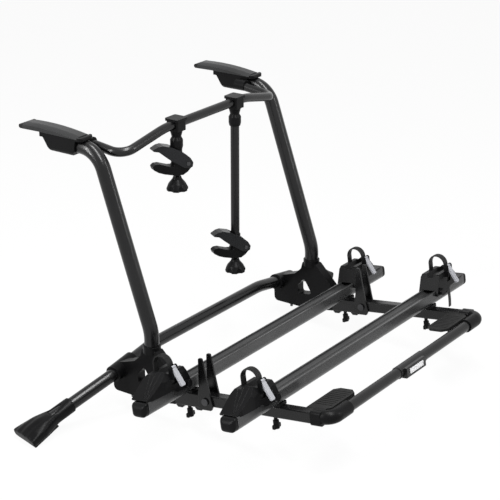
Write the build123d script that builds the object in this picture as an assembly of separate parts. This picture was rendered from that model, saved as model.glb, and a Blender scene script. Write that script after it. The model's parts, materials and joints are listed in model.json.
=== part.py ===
"""Bike rack for a tailgate or boot lid, for two bikes.

Two bent uprights hang from the top edge of the door by hooks. A top hoop and a
lower bar join them, and the lower bar ends in two paddle feet that rest on the
car. A platform of two arms a side carries two wheel rails, and its rear half
folds up about a pin in each arm. Two arms on the top hoop grip the bike frames.

X runs across the car, +Y towards the car and +Z up. The model is drawn about
the kink at the foot of the uprights and moved at the end, so that the origin
lies midway between the tips of the two hooks. All lengths are millimetres.
"""
from build123d import *
import math
import os

os.makedirs("parts", exist_ok=True)

# Clearances and the overrun of every cut
FIT = 0.3
RUNNING = 0.1
OVERRUN = 6

# Uprights
HALF_SPACING = 380
UPRIGHT_R = 20
UPRIGHT_WALL = 2.5
UPRIGHT_FOOT = 46
UPRIGHT_LEAN = 0.348
UPRIGHT_RISE = 468
UPRIGHT_REACH = 96
UPRIGHT_LIFT = 4
HOOK_SET = 49.136
HOOK_BACK = UPRIGHT_LEAN * UPRIGHT_RISE + HOOK_SET
KINK_BEND = 120
TOP_BEND = 75

# Top hoop
HOOP_R = 12.5
HOOP_WALL = 2
HOOP_BEHIND = 109
HOOP_Y = HOOK_BACK - HOOP_BEHIND
HOOP_OVER = 22
HOOP_Z = UPRIGHT_RISE + HOOP_OVER
HOOP_IN = 39
HOOP_CORNER_X = HALF_SPACING - HOOP_IN
HOOP_SHOULDER = 162
HOOP_FLAT = HOOP_CORNER_X - HOOP_SHOULDER
HOOP_CORNER_DY = 10
HOOP_DROP = 35
HOOP_LEG_IN = 28
HOOP_LEG_END = HOOK_BACK + HOOP_LEG_IN
HOOP_LEG_LIFT = 16
HOOP_SHOULDER_BEND = 220
HOOP_CORNER_BEND = 42

# Lower bar and its feet
BAR_R = 17
BAR_WALL = 2.5
BAR_Y = 103
BAR_DEPTH = 107
BAR_FLAT_IN = 130
BAR_FLAT = HALF_SPACING - BAR_FLAT_IN
BAR_BEND_OUT = 50
BAR_BEND_X = HALF_SPACING + BAR_BEND_OUT
BAR_SLOPE = 0.16
BAR_LEG = 184
BAR_END_X = BAR_BEND_X + BAR_LEG
LEG_FORWARD = 0.27
LEG_DOWN = 0.344
BAR_SHOULDER_BEND = 260
BAR_ELBOW_BEND = 55
COLLAR_R = 23
COLLAR_HALF = 40
FOOT_GRIP = 62
FOOT_START_X = BAR_END_X - FOOT_GRIP
FOOT_LENGTH = 158
FOOT_SLEEVE = 42
FOOT_WIDTH = 98
FOOT_END_THICK = 20
FOOT_RISE = 2
SOLE_THICK = 4
SOLE_INSET = 3

# Side brackets
BRACKET_WIDTH = 30
BRACKET_REACH = 126
BRACKET_DROP = 193
BRACKET_CORNER = 14
SOCKET_WALL = 4
SOCKET_RISE = 10
SPIGOT_LENGTH = 24
BOLT_R = 4
BOLT_HEAD_R = 7
BOLT_HEAD = 5
BOLT_TAIL = 13
BOLT_Y = 70
BOLT_BITE = 24
SEAM = 1.5

# Platform, in its own level frame: y to the rear is negative, z is square to it
TILT = 8.1
ARM_WIDTH = 30
ARM_TOP = 149
ARM_START = 62
ARM_FRONT_HIGH = 39
ARM_REAR_HIGH = 31
ARM_WALL = 3
ARM_EDGE = 4
ARM_END = 522
LUMP_LONG = 26
LUMP_HIGH = 7
PIN_S = 168
PIN_R = 6
PIN_HEAD_R = 10
PIN_HEAD = 4
CHEEK_THICK = 5
CHEEK_FOOT = 44
CHEEK_WAIST = 32
CHEEK_TIP = 12
CHEEK_TOP = 45
STRUT_FOOT = 80

# Rails
RAIL_OUT = 183
RAIL_HALF = HALF_SPACING + RAIL_OUT
RAIL_WIDTH = 46
RAIL_HIGH = 39
RAIL_BASE_R = 17
RAIL_WALL = 2.5
RAIL_LIP = 5
RAIL_LIP_R = 2
RAIL_TROUGH = 11
RAIL_TROUGH_R = 9
RAIL_S = (109.4, 387.5)
RAIL_N = (-121.8, -119.7)
RAIL_SHIFT = -14
PLUG_LENGTH = 20
PLUG_SPIGOT = 18
PLUG_ROUND = 18
PLUG_CORNER = 12

# Wheel holders
HOLDER_SET = 12
HOLDER_START = HALF_SPACING + HOLDER_SET
HOLDER_OVER = 3
HOLDER_END = RAIL_HALF + HOLDER_OVER
HOLDER_HALF = 31
HOLDER_TOP = 50
HOLDER_BASE = 115
HOLDER_EDGE = 3
CRADLE_LONG = 90
CRADLE_END = HOLDER_START + CRADLE_LONG
CRADLE_HALF = 20
CRADLE_FLOOR = 66
CRADLE_FLOOR_HALF = 7
RIB_WIDTH = 3
HOLDER_KNOB_SET = 22
HOLDER_KNOB_X = HOLDER_START + HOLDER_KNOB_SET
HOLDER_KNOB_R = 10
HOLDER_KNOB_LONG = 9
STRAP_SET = 71
STRAP_X = HOLDER_START + STRAP_SET
STRAP_HALF = 26
STRAP_THICK = 3
STRAP_WIDTH = 19
STRAP_TOP = 12.7
STRAP_FOOT = 88
BUCKLE_LONG = 54
BUCKLE_WIDTH = 16
BUCKLE_THICK = 5
BUCKLE_ANGLE = 60
BUCKLE_N = 43
BUCKLE_PIN_R = 2.5
BUCKLE_EAR = 3
BUCKLE_EAR_R = 6
BUCKLE_EAR_LONG = 30

# Rear bar, its elbows and the corner pads
REAR_SET = 22
REAR_S = ARM_END + REAR_SET
REAR_N = 163
REAR_R = 14.5
REAR_WALL = 2
REAR_IN = 45
REAR_HALF = HALF_SPACING - REAR_IN
SLEEVE_X = (-66, 62)
HANDLE_X = -5
HANDLE_LONG = 96
HANDLE_DEEP = 23
HANDLE_HIGH = 28
HANDLE_DROP = 3
ELBOW_R = 18.5
ELBOW_BEND = 26
ELBOW_SLEEVE = 30
ELBOW_WALL = 3.5
PAD_REACH = 152
PAD_IN = HALF_SPACING - PAD_REACH
PAD_BEFORE = 61
PAD_START = ARM_END - PAD_BEFORE
PAD_AFTER = 3
PAD_END = ARM_END + PAD_AFTER
PAD_N = 150
PAD_THICK = 7
PAD_CORNER = 8
PAD_NOTCH = 14
PAD_RIB = 3
PAD_RIB_PITCH = 11
PAD_SKIRT = 14

# Knobs under the arms
WING_STEM_R = 5
WING_STEM = 12
WING_HIGH = 22
WING_HUB_R = 8
WING_SPAN = 30
WING_THICK = 6
WING_S = (96, 373)

# Hooks
HOOK_LONG = 200
HOOK_TIP_Y = HOOK_BACK + HOOK_LONG
HOOK_WIDTH = 55
HOOK_OVER = 26.5
HOOK_LIP = UPRIGHT_RISE + HOOK_OVER
HOOK_TIP_LIFT = 4.5
HOOK_TIP_Z = HOOK_LIP + HOOK_TIP_LIFT
HOOK_SIDE = 6
HOOK_CAMBER = 16.5
HOOK_CROWN = HOOK_LIP + HOOK_CAMBER
HOOK_NOSE_BACK = 14
HOOK_NOSE = HOOK_TIP_Y - HOOK_NOSE_BACK
HOOK_DIP = 2
HOOK_SWEEP = 20
HOOK_WALL = 3
KEY_SET = 56
KEY_START = HOOK_BACK + KEY_SET
KEY_TRAVEL = 25
KEY_WIDTH = 14
KEY_DEPTH = 8
ROLL_R = 6
HOUSING_WIDTH = 52
HOUSING_UNDER = 22
HOUSING_BASE = UPRIGHT_RISE - HOUSING_UNDER
HOUSING_ROUND = 14
HOUSING_LONG = 130
HOUSING_FRONT = HOOK_BACK + HOUSING_LONG
HEEL_BACK = 36
HOUSING_HEEL = HOUSING_FRONT - HEEL_BACK
HOUSING_STEP = 12
CAP_LONG = 16
CAP_ROUND = 7
CAP_CORNER = 14
SLEEVE_LONG = 34
SLEEVE_WALL = 3

# Bike arms: each has a clamp on the hoop, a neck, a head and two claws
ARM_IN = (49, 44)
ARM_X = (ARM_IN[0] - HOOP_FLAT, HOOP_FLAT - ARM_IN[1])
JAW_DROP = 116
JAW_LOW = 51
JAW_Z = (HOOP_Z - JAW_DROP, JAW_LOW)
JAW_TURN = 30
CLAMP_LONG = 40
CLAMP_DEEP = 38
CLAMP_OVER = 5
CLAMP_PLATE = 7
CLAMP_PLATE_GROW = 3
CLAMP_EDGE = 5
NECK_R = 13
SWELL_R = 17.5
SWELL_DROP = 52
SWELL_Z = HOOP_Z - SWELL_DROP
SWELL_LONG = 34
ROD_R = 12.5
HEAD_TOP = 46
HEAD_SOCKET_R = 15
HEAD_WIDTH = 30
JAW_LONG = 76
JAW_HIGH = 58
JAW_WIDTH = 38
JAW_TIP_WIDTH = 24
JAW_SLOT = 18
JAW_PIVOT_U = -26
JAW_PIVOT_V = 6
JAW_PIVOT_R = 4
CLAW_DROP = 28
KNOB_TOP = 31
KNOB_HIGH = 38
KNOB_R = 30
KNOB_NECK_R = 11
KNOB_CUTS = 6
KNOB_CUT_R = 11
KNOB_CUT_SHARE = 1.2
STUD_R = 5

# Outlines as shares of the sizes that they follow
ROUND_SHARE = 0.7
SOLE_START_SHARE = 0.4
LUMP_SLOPE_SHARE = 0.8
WING_SHARE = 0.55
RIB_SHARES = ((-0.62, 0.2), (-0.1, 0.34), (0.42, 0.5))
RIB_MIDDLE_SHARE = 0.5
HOOK_PEAK_SHARE = 0.6
NOSE_START_SHARE = 0.56
NOSE_END_SHARE = 0.97
NOSE_TIP_SHARE = 0.27
ROUND_FOOT_SHARE = 0.98
ROD_FOOT_SHARE = 0.6
HEAD_BASE_SHARE = 0.9
LOWER_CLAW_SHARES = [(0.16, 0.03), (0.32, 0.05), (0.53, 0.14), (0.7, 0.22), (0.87, 0.22), (0.97, 0.12),
                     (0.92, -0.05), (0.75, -0.19), (0.54, -0.29), (0.24, -0.38), (-0.16, -0.43),
                     (-0.34, -0.29), (-0.49, -0.08), (-0.5, 0.2), (-0.36, 0.36), (-0.1, 0.4), (0.12, 0.4)]
UPPER_CLAW_SHARES = [(0.13, 0.21), (0.32, 0.36), (0.53, 0.58), (0.74, 0.81), (0.92, 0.86), (0.99, 0.92),
                     (0.74, 1.07), (0.58, 1.09), (0.25, 0.97), (0, 0.79), (-0.24, 0.59), (-0.42, 0.38),
                     (-0.53, 0.14), (-0.5, -0.07), (-0.37, -0.12), (-0.18, -0.07)]
KNOB_SHARES = ((0.45, 0.18), (0.78, 0.5), (1, 0.86), (0.97, 1))

# Places worked out from the sizes above
SIDES = (("left", -1), ("right", 1))
REST = Rotation(-TILT, 0, 0)
ORIGIN = Vector(0, HOOK_TIP_Y, HOOK_TIP_Z)
kept = []


def keep(name, shape):
    """Move a finished piece to the origin frame and write it."""
    placed = Location(-ORIGIN) * shape
    export_step(Compound(children=placed.solids()) if len(placed.solids()) > 1 else placed.solids()[0],
                f"parts/{name}.step")
    kept.append((name, placed.volume))


def level(s, n):
    """Turn a place on the platform into y and z of the model."""
    turn = math.radians(TILT)
    return (-s * math.cos(turn) + n * math.sin(turn), s * math.sin(turn) + n * math.cos(turn))


def tube(points, bends, radius, wall):
    """Sweep a round tube along straight runs joined by tangent arcs."""
    path = FilletPolyline(*points, radius=bends) if len(points) > 2 else Line(*points)
    start = Plane(origin=path @ 0, z_dir=path % 0)
    ring = start * Circle(radius)
    solid = sweep(ring, path=path)
    if wall:
        solid -= sweep(start * Circle(radius - wall), path=path)
    return solid


def prism(outline, low, high, corners=0):
    """Extrude a closed outline of y and z places along X."""
    wire = FilletPolyline(*outline, radius=corners, close=True) if corners else Polyline(*outline, close=True)
    face = Plane.YZ.offset(low) * make_face(wire)
    return extrude(face, amount=high - low, dir=(1, 0, 0))


def shaped(shares, reach, height):
    """Turn pairs of shares into places."""
    return [(y * reach, z * height) for y, z in shares]


def rod(start, end, radius):
    """A round bar between two places."""
    axis = Vector(*end) - Vector(*start)
    plane = Plane(origin=start, z_dir=axis)
    return extrude(plane * Circle(radius), amount=axis.length)


def on_side(shape, side):
    """Pieces are drawn on the right and mirrored for the left."""
    return shape if side > 0 else mirror(shape, about=Plane.YZ)


def on_rail(shape, side):
    """Mirrored pairs on a rail move sideways with it."""
    return Location((RAIL_SHIFT, 0, 0)) * on_side(shape, side)


def bar_z(x):
    """Height of the lower bar's axis at a distance x from the middle."""
    return -BAR_DEPTH - BAR_SLOPE * max(0, x - BAR_FLAT)


def leg_place(x):
    """A place on the straight leg of the lower bar."""
    out = x - BAR_BEND_X
    return (x, BAR_Y + LEG_FORWARD * out, bar_z(BAR_BEND_X) - LEG_DOWN * out)


def upright():
    corner_y = UPRIGHT_LEAN * UPRIGHT_RISE
    points = [(HALF_SPACING, 0, -UPRIGHT_FOOT), (HALF_SPACING, 0, 0),
              (HALF_SPACING, corner_y, UPRIGHT_RISE),
              (HALF_SPACING, corner_y + UPRIGHT_REACH, UPRIGHT_RISE + UPRIGHT_LIFT)]
    return tube(points, [KINK_BEND, TOP_BEND], UPRIGHT_R, UPRIGHT_WALL)


def hoop_points():
    right = [(HOOP_FLAT, HOOP_Y, HOOP_Z),
             (HOOP_CORNER_X, HOOP_Y + HOOP_CORNER_DY, HOOP_Z - HOOP_DROP),
             (HOOP_CORNER_X, HOOP_LEG_END, HOOP_Z - HOOP_DROP + HOOP_LEG_LIFT)]
    return [(-x, y, z) for x, y, z in reversed(right)] + right


def top_hoop():
    bends = [HOOP_CORNER_BEND, HOOP_SHOULDER_BEND, HOOP_SHOULDER_BEND, HOOP_CORNER_BEND]
    return tube(hoop_points(), bends, HOOP_R, HOOP_WALL)


def lower_bar():
    right = [(BAR_FLAT, BAR_Y, bar_z(0)), (BAR_BEND_X, BAR_Y, bar_z(BAR_BEND_X)), leg_place(BAR_END_X)]
    points = [(-x, y, z) for x, y, z in reversed(right)] + right
    bends = [BAR_ELBOW_BEND, BAR_SHOULDER_BEND, BAR_SHOULDER_BEND, BAR_ELBOW_BEND]
    return tube(points, bends, BAR_R, BAR_WALL)


def bracket_outline():
    """Side view of the casting, from the front of the socket round to its rear."""
    front_shares = [(0.175, -0.238), (0.222, -0.358), (0.389, -0.466), (0.651, -0.523), (0.849, -0.56),
                    (1.0, -0.663), (0.97, -1.0), (0.159, -1.0), (-0.24, -0.974)]
    top_n = -ARM_TOP
    base_n = top_n - ARM_FRONT_HIGH
    rear = [level(ARM_START, base_n), level(ARM_START, top_n + FIT), level(STRUT_FOOT, top_n + FIT)]
    strut_shares = [(-0.635, -0.528), (-0.19, -0.238)]
    return (shaped(front_shares, BRACKET_REACH, BRACKET_DROP) + rear
            + shaped(strut_shares, BRACKET_REACH, BRACKET_DROP))


def collar_ends(half):
    """Ends of the clamp sleeve, which follows the slope of the lower bar."""
    lower = HALF_SPACING - half
    upper = HALF_SPACING + half
    return (lower, BAR_Y, bar_z(lower)), (upper, BAR_Y, bar_z(upper))


def side_bracket():
    low = HALF_SPACING - BRACKET_WIDTH / 2
    high = HALF_SPACING + BRACKET_WIDTH / 2
    bend_shares = [0.4, 0.9, 1.4, 1.4, 0.6, 0.6, 1, 2, 2, 0.07, 0.07, 0.15, 0.7, 0.2]
    body = prism(bracket_outline(), low, high, [BRACKET_CORNER * share for share in bend_shares])
    start, end = collar_ends(COLLAR_HALF)
    body += rod(start, end, COLLAR_R)
    foot = Location((HALF_SPACING, 0, -UPRIGHT_FOOT))
    body += foot * Cylinder(UPRIGHT_R + SOCKET_WALL, 2 * SOCKET_RISE)
    body -= foot * Cylinder(UPRIGHT_R + FIT, SOCKET_RISE + OVERRUN,
                            align=(Align.CENTER, Align.CENTER, Align.MIN))
    body += foot * Cylinder(UPRIGHT_R - UPRIGHT_WALL - FIT, SPIGOT_LENGTH,
                            align=(Align.CENTER, Align.CENTER, Align.MIN))
    window_shares = [(0.302, -0.637), (0.294, -0.788), (-0.103, -0.746), (0.127, -0.513)]
    window = shaped(window_shares, BRACKET_REACH, BRACKET_DROP)
    body -= prism(window, low - OVERRUN, high + OVERRUN, BRACKET_CORNER / 2)
    start, end = collar_ends(COLLAR_HALF + OVERRUN)
    body -= rod(start, end, BAR_R + RUNNING)
    body -= rod((HALF_SPACING, BOLT_Y, -BRACKET_DROP - OVERRUN),
                (HALF_SPACING, BOLT_Y, -BRACKET_DROP + BOLT_BITE + FIT), BOLT_R + FIT)
    return body


def bracket_bolts():
    """One upright clamp bolt behind each bar sleeve, head above and nut below."""
    bolt = rod((HALF_SPACING, BOLT_Y, -BRACKET_DROP - BOLT_TAIL),
               (HALF_SPACING, BOLT_Y, -BRACKET_DROP + BOLT_BITE), BOLT_R)
    nut_top = -BRACKET_DROP - FIT
    bolt += rod((HALF_SPACING, BOLT_Y, nut_top - BOLT_HEAD), (HALF_SPACING, BOLT_Y, nut_top), BOLT_HEAD_R)
    return bolt


def front_arm():
    """Fixed box arm from the bracket to the hinge, with a packing lump under each end."""
    low = HALF_SPACING - ARM_WIDTH / 2
    stop = PIN_S - ARM_REAR_HIGH / 2 - SEAM
    length = stop - ARM_START - FIT
    middle = (HALF_SPACING, -(stop + ARM_START + FIT) / 2, -ARM_TOP - ARM_FRONT_HIGH / 2)
    body = Box(ARM_WIDTH, length, ARM_FRONT_HIGH)
    body = fillet(body.edges().filter_by(Axis.Y), ARM_EDGE)
    body -= Box(ARM_WIDTH - 2 * ARM_WALL, length + OVERRUN, ARM_FRONT_HIGH - 2 * ARM_WALL)
    body = Location(middle) * body
    for place in (ARM_START + FIT + LUMP_LONG / 2, stop - LUMP_LONG / 2):
        lump = Box(ARM_WIDTH - ARM_EDGE, LUMP_LONG, LUMP_HIGH + ARM_WALL)
        lump = chamfer(lump.edges().filter_by(Axis.X).group_by(Axis.Z)[0], LUMP_HIGH * LUMP_SLOPE_SHARE)
        under = -ARM_TOP - ARM_FRONT_HIGH - LUMP_HIGH
        body += Location((HALF_SPACING, -place, under + (LUMP_HIGH + ARM_WALL) / 2)) * lump
    return REST * body


def rear_arm():
    """Folding box arm: a round eye on the pin, then a hollow beam to the corner elbow."""
    base = -ARM_TOP - ARM_REAR_HIGH
    pin = (HALF_SPACING, -PIN_S, pin_n())
    length = ARM_END - PIN_S
    beam = Box(ARM_WIDTH, length, ARM_REAR_HIGH)
    beam = fillet(beam.edges().filter_by(Axis.Y), ARM_EDGE)
    start = PIN_S + ARM_REAR_HIGH
    hollow = Box(ARM_WIDTH - 2 * ARM_WALL, ARM_END - start + OVERRUN, ARM_REAR_HIGH - 2 * ARM_WALL)
    beam = Location((HALF_SPACING, -(PIN_S + ARM_END) / 2, base + ARM_REAR_HIGH / 2)) * beam
    beam -= Location((HALF_SPACING, -(start + ARM_END + OVERRUN) / 2, base + ARM_REAR_HIGH / 2)) * hollow
    across = Rotation(0, 90, 0)
    beam += Location(pin) * across * Cylinder(ARM_REAR_HIGH / 2, ARM_WIDTH)
    beam -= Location(pin) * across * Cylinder(PIN_R + RUNNING, ARM_WIDTH + OVERRUN)
    return REST * beam


def pin_n():
    return -ARM_TOP - ARM_REAR_HIGH / 2


def hinge_cheeks():
    """Two tapered plates on each side of the hinge, rising well above the arm."""
    base = -ARM_TOP - ARM_FRONT_HIGH
    top = -CHEEK_TOP
    foot = CHEEK_FOOT / 2
    waist = CHEEK_WAIST / 2
    tip = CHEEK_TIP / 2
    outline = [(-PIN_S + foot, base), (-PIN_S + foot, -ARM_TOP), (-PIN_S + waist, -ARM_TOP + foot),
               (-PIN_S + tip, top), (-PIN_S - tip, top), (-PIN_S - waist, -ARM_TOP + foot / 2),
               (-PIN_S - foot, base + foot / 2), (-PIN_S - waist, base)]
    bends = [ARM_EDGE, waist, foot, tip * ROUND_SHARE, tip * ROUND_SHARE, waist, ARM_EDGE, ARM_EDGE]
    pieces = []
    for side in (-1, 1):
        inner = ARM_WIDTH / 2 + FIT
        low = HALF_SPACING + min(side * inner, side * (inner + CHEEK_THICK))
        plate = prism(outline, low, low + CHEEK_THICK, bends)
        hole = rod((low - OVERRUN, -PIN_S, pin_n()), (low + CHEEK_THICK + OVERRUN, -PIN_S, pin_n()), PIN_R)
        pieces.append(plate - hole)
    return REST * (pieces[0] + pieces[1])


def hinge_pin():
    half = ARM_WIDTH / 2 + FIT + CHEEK_THICK
    pin = rod((HALF_SPACING - half - FIT, -PIN_S, pin_n()), (HALF_SPACING + half + FIT, -PIN_S, pin_n()),
              PIN_R - RUNNING / 2)
    for side in (-1, 1):
        near = HALF_SPACING + side * (half + FIT)
        far = near + side * PIN_HEAD
        pin += rod((min(near, far), -PIN_S, pin_n()), (max(near, far), -PIN_S, pin_n()), PIN_HEAD_R)
    return REST * pin


def rail_section(grow=0):
    """Outline of a rail about its own axis: flat lips, round lower corners."""
    half = RAIL_WIDTH / 2 + grow
    deep = RAIL_HIGH / 2 + grow
    points = [(-half, -deep), (half, -deep), (half, deep), (-half, deep)]
    round_base = RAIL_BASE_R + grow
    wire = FilletPolyline(*points, radius=[round_base, round_base, RAIL_LIP_R, RAIL_LIP_R], close=True)
    return Plane.YZ * make_face(wire)


def rail_trough():
    """Open channel along the top of a rail."""
    half = RAIL_WIDTH / 2 - RAIL_LIP
    top = RAIL_HIGH / 2
    floor = top - RAIL_TROUGH
    points = [(-half, top + OVERRUN), (-half + FIT, floor), (half - FIT, floor), (half, top + OVERRUN)]
    wire = FilletPolyline(*points, radius=[RAIL_LIP_R, RAIL_TROUGH_R, RAIL_TROUGH_R, RAIL_LIP_R], close=True)
    return Plane.YZ * make_face(wire)


def rail_hollow(gap=0):
    """Closed chamber under the trough, or what fits in it with a gap all round."""
    half = RAIL_WIDTH / 2 - RAIL_WALL - gap
    low = -RAIL_HIGH / 2 + RAIL_WALL + gap
    high = RAIL_HIGH / 2 - RAIL_TROUGH - RAIL_WALL - gap
    points = [(-half, low), (half, low), (half, high), (-half, high)]
    inner = RAIL_BASE_R - RAIL_WALL
    wire = FilletPolyline(*points, radius=[inner, inner, RAIL_LIP_R, RAIL_LIP_R], close=True)
    return Plane.YZ * make_face(wire)


def along_rail(face, half):
    """Extrude a section of the rail from one end of the rail to the other."""
    return Location((-half, 0, 0)) * extrude(face, amount=2 * half, dir=(1, 0, 0))


def rail(index):
    section = rail_section() - rail_trough() - rail_hollow()
    body = along_rail(section, RAIL_HALF)
    place = Location((RAIL_SHIFT, -RAIL_S[index], RAIL_N[index]))
    saddle_top = RAIL_N[index] - RAIL_HIGH / 2 - FIT
    saddle_base = -ARM_TOP + FIT
    saddles = [Location((side * HALF_SPACING, -RAIL_S[index], (saddle_top + saddle_base) / 2))
               * Box(ARM_WIDTH, RAIL_WIDTH - RAIL_BASE_R, saddle_top - saddle_base) for side in (-1, 1)]
    return REST * (place * body), [REST * saddle for saddle in saddles]


def rail_plugs(index):
    """Rounded stoppers in both ends of a rail, each with a spigot in the chamber."""
    half = RAIL_WIDTH / 2
    deep = RAIL_HIGH / 2
    side_points = [(0, -deep), (PLUG_LENGTH, -deep), (PLUG_LENGTH, deep), (0, deep)]
    side_wire = FilletPolyline(*side_points, radius=[SEAM, PLUG_CORNER, PLUG_ROUND, SEAM], close=True)
    side_face = Plane.XZ * make_face(side_wire)
    side_form = Location((0, half, 0)) * extrude(side_face, amount=2 * half, dir=(0, -1, 0))
    plan_points = [(0, -half), (PLUG_LENGTH, -half), (PLUG_LENGTH, half), (0, half)]
    plan_wire = FilletPolyline(*plan_points, radius=[SEAM, PLUG_CORNER, PLUG_CORNER, SEAM], close=True)
    plan_form = Location((0, 0, -deep)) * extrude(make_face(plan_wire), amount=2 * deep)
    cap = extrude(rail_section(), amount=PLUG_LENGTH, dir=(1, 0, 0)) & side_form & plan_form
    spigot = extrude(rail_hollow(FIT), amount=PLUG_SPIGOT + SEAM, dir=(1, 0, 0))
    cap += Location((-PLUG_SPIGOT, 0, 0)) * spigot
    cap = Location((RAIL_HALF + FIT, 0, 0)) * cap
    place = Location((RAIL_SHIFT, -RAIL_S[index], RAIL_N[index]))
    return [REST * (place * cap), REST * (place * mirror(cap, about=Plane.YZ))]


def holder_side():
    """Side view of a wheel holder: sloped back, flat cradle and a long nose to the rail's end."""
    reach = HOLDER_END - HOLDER_START
    height = HOLDER_BASE - HOLDER_TOP
    shares = [(0, 0), (0.14, 0.89), (0.5, 0.89), (0.55, 1), (0.98, 0.26), (1, 0.18), (0.46, 0.18), (0.36, 0)]
    return [(HOLDER_START + x * reach, -HOLDER_BASE + z * height) for x, z in shares]


def holder_front():
    """Front view of a wheel holder, whose rear cheek stands higher than the front one."""
    height = HOLDER_BASE - HOLDER_TOP
    shares = [(1, 0), (1, 0.75), (0.87, 0.89), (0.26, 0.89), (0, 1), (-0.77, 1), (-1, 0.68), (-1, 0)]
    return [(y * HOLDER_HALF, -HOLDER_BASE + z * height) for y, z in shares]


def holder_plan():
    """Plan of a wheel holder, with the nose drawn to its rear side."""
    reach = HOLDER_END - HOLDER_START
    shares = [(0, 1), (0.54, 1), (0.62, 0.9), (0.98, -0.3), (1, -0.62), (0.88, -0.84), (0.62, -1), (0, -1)]
    return [(HOLDER_START + x * reach, y * HOLDER_HALF) for x, y in shares]


def holder(index):
    """Wheel holder: a saddle over the rail with a cradle for the tyre.

    It is cut to its side, front and top outlines in turn, then opened along
    the top for the wheel and underneath for the rail.
    """
    side_face = Plane.XZ * make_face(FilletPolyline(*holder_side(), radius=HOLDER_EDGE, close=True))
    body = Location((0, HOLDER_HALF, 0)) * extrude(side_face, amount=2 * HOLDER_HALF, dir=(0, -1, 0))
    body &= prism(holder_front(), HOLDER_START - OVERRUN, HOLDER_END + OVERRUN, SEAM)
    plan_face = make_face(FilletPolyline(*holder_plan(), radius=SEAM, close=True))
    body &= Location((0, 0, -HOLDER_BASE)) * extrude(plan_face, amount=HOLDER_BASE - HOLDER_TOP)
    floor = -CRADLE_FLOOR
    top = -HOLDER_TOP
    cradle_points = [(-CRADLE_FLOOR_HALF, floor), (CRADLE_FLOOR_HALF, floor), (CRADLE_HALF, top),
                     (-CRADLE_HALF, top)]
    body -= prism(cradle_points, HOLDER_START - OVERRUN, CRADLE_END)
    rail_room = Location((HOLDER_START - OVERRUN, 0, RAIL_N[index])) * extrude(
        rail_section(FIT), amount=HOLDER_END - HOLDER_START + 2 * OVERRUN, dir=(1, 0, 0))
    body -= rail_room
    channel_top = -STRAP_FOOT - FIT
    channel = Box(STRAP_WIDTH + 2 * FIT, HOLDER_HALF, HOLDER_BASE)
    channel_y = STRAP_HALF - STRAP_THICK - FIT + HOLDER_HALF / 2
    for side in (-1, 1):
        body -= Location((STRAP_X, side * channel_y, channel_top + HOLDER_BASE / 2)) * channel
    body += buckle_mount()
    reach = HOLDER_END - HOLDER_START
    height = HOLDER_BASE - HOLDER_TOP
    crest = (HOLDER_START + reach * NOSE_START_SHARE, -HOLDER_TOP)
    tip = (HOLDER_START + reach * NOSE_END_SHARE, -HOLDER_BASE + height * NOSE_TIP_SHARE)
    for start_share, end_share in RIB_SHARES:
        rib_start = (crest[0], -start_share * HOLDER_HALF, crest[1])
        rib_end = (tip[0], -end_share * HOLDER_HALF, tip[1])
        body -= rod(rib_start, rib_end, RIB_WIDTH / 2)
    knob = (HOLDER_KNOB_X, -HOLDER_HALF + FIT, -HOLDER_BASE + HOLDER_KNOB_R)
    body += rod(knob, (knob[0], knob[1] - HOLDER_KNOB_LONG, knob[2]), HOLDER_KNOB_R)
    return Location((0, -RAIL_S[index], 0)) * body


def strap(index):
    """Ribbed wheel strap: an arch over the tyre whose ends run down the cheeks."""
    outer = STRAP_HALF
    inner = STRAP_HALF - STRAP_THICK
    spring = -STRAP_TOP - outer
    foot = -STRAP_FOOT
    arch = Location((STRAP_X, 0, spring)) * Rotation(0, 90, 0) * Cylinder(outer, STRAP_WIDTH)
    legs = Location((STRAP_X, 0, (spring + foot) / 2)) * Box(STRAP_WIDTH, 2 * outer, spring - foot)
    void = Location((STRAP_X, 0, spring)) * Rotation(0, 90, 0) * Cylinder(inner, STRAP_WIDTH + OVERRUN)
    void += Location((STRAP_X, 0, (spring + foot) / 2)) * Box(STRAP_WIDTH + OVERRUN, 2 * inner,
                                                             spring - foot + OVERRUN)
    body = arch + legs - void
    return Location((0, -RAIL_S[index], 0)) * body


def buckle(index):
    """Closing lever of the strap, on the rear side of the holder."""
    lever = Box(BUCKLE_WIDTH, BUCKLE_LONG, BUCKLE_THICK)
    lever = fillet(lever.edges().filter_by(Axis.Z), BUCKLE_THICK)
    lever = Location((0, -BUCKLE_LONG / 2, 0)) * lever
    lever += Rotation(0, 90, 0) * Cylinder(BUCKLE_THICK * ROUND_SHARE + FIT, BUCKLE_WIDTH)
    lever -= Rotation(0, 90, 0) * Cylinder(BUCKLE_PIN_R + RUNNING, BUCKLE_WIDTH + OVERRUN)
    lever = Rotation(BUCKLE_ANGLE, 0, 0) * lever
    return Location((STRAP_X, -RAIL_S[index] - buckle_out(), -BUCKLE_N)) * lever


def buckle_out():
    """Distance of the buckle's pin from the middle of the rail."""
    return STRAP_HALF + BUCKLE_EAR_R + FIT


def buckle_mount():
    """Two ears on the cheek of the holder and the pin that carries the buckle."""
    width = BUCKLE_WIDTH + 2 * (2 * FIT + BUCKLE_EAR)
    body = Rotation(0, 90, 0) * Cylinder(BUCKLE_PIN_R, width)
    for side in (-1, 1):
        x = side * (BUCKLE_WIDTH / 2 + 2 * FIT + BUCKLE_EAR / 2)
        ear = Rotation(0, 90, 0) * Cylinder(BUCKLE_EAR_R, BUCKLE_EAR)
        ear += Location((0, 0, -BUCKLE_EAR_LONG / 2)) * Box(BUCKLE_EAR, 2 * BUCKLE_EAR_R, BUCKLE_EAR_LONG)
        body += Location((x, 0, 0)) * ear
    return Location((STRAP_X, -buckle_out(), -BUCKLE_N)) * body


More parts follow.
